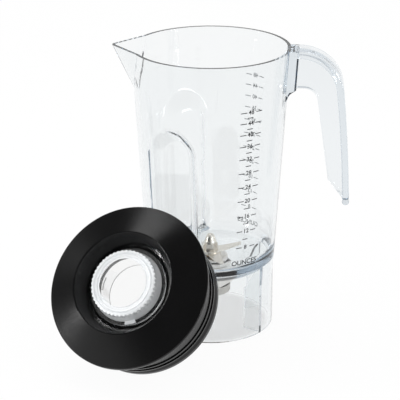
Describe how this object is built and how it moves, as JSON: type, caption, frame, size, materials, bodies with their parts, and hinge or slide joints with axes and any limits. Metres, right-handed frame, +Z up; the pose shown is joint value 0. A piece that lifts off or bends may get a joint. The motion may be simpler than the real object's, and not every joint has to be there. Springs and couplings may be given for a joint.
{
  "type": "blender jar",
  "caption": "Clear tapered blender jar with pouring spout, hanging handle, fluted walls and steel cutter; its black rubber lid with clear filler cap leans against it.",
  "frame": {"origin": "on the jar's axis, in the plane of its base rim", "axes": "+Z up along the jar's axis, +X towards the handle, -X towards the spout, -Y towards the front"},
  "size_m": [0.2451, 0.2257, 0.25],
  "materials": {
    "clear_polycarbonate": "clear polished",
    "black_rubber": "satin",
    "turned_steel": "turned",
    "blade_steel": "polished",
    "bearing_steel": "ground",
    "spring_steel": "oiled",
    "brass_washer": "plain",
    "cast_clutch": "cast"
  },
  "bodies": {
    "jar": {"jar": "clear_polycarbonate", "lid": "black_rubber", "housing_gasket": "black_rubber", "shaft_seal": "black_rubber", "bearing_housing": "turned_steel", "clamp_nut": "turned_steel", "bearing_clip": "spring_steel", "upper_bearing_outer_ring": "bearing_steel", "lower_bearing_outer_ring": "bearing_steel"},
    "cutter": {"upper_bearing_inner_ring": "bearing_steel", "upper_bearing_balls": "bearing_steel", "lower_bearing_inner_ring": "bearing_steel", "lower_bearing_balls": "bearing_steel", "bearing_spacer": "turned_steel", "drive_shaft": "turned_steel", "thrust_washer": "brass_washer", "lower_blade": "blade_steel", "upper_blade": "blade_steel", "blade_washer": "blade_steel", "cap_nut": "blade_steel", "drive_clutch": "cast_clutch"},
    "filler_cap": {"filler_cap": "clear_polycarbonate"}
  },
  "joints": [
    {"name": "cutter_spin", "type": "hinge", "parent": "jar", "child": "cutter", "pos_m": [0, 0, 0.06], "axis": [0, 0, 1], "continuous": true},
    {"name": "filler_cap_twist", "type": "hinge", "parent": "jar", "child": "filler_cap", "pos_m": [-0.05902, -0.11147, 0.07711], "axis": [-0.2704, -0.7309, 0.6266], "range_deg": [0, 45]}
  ]
}
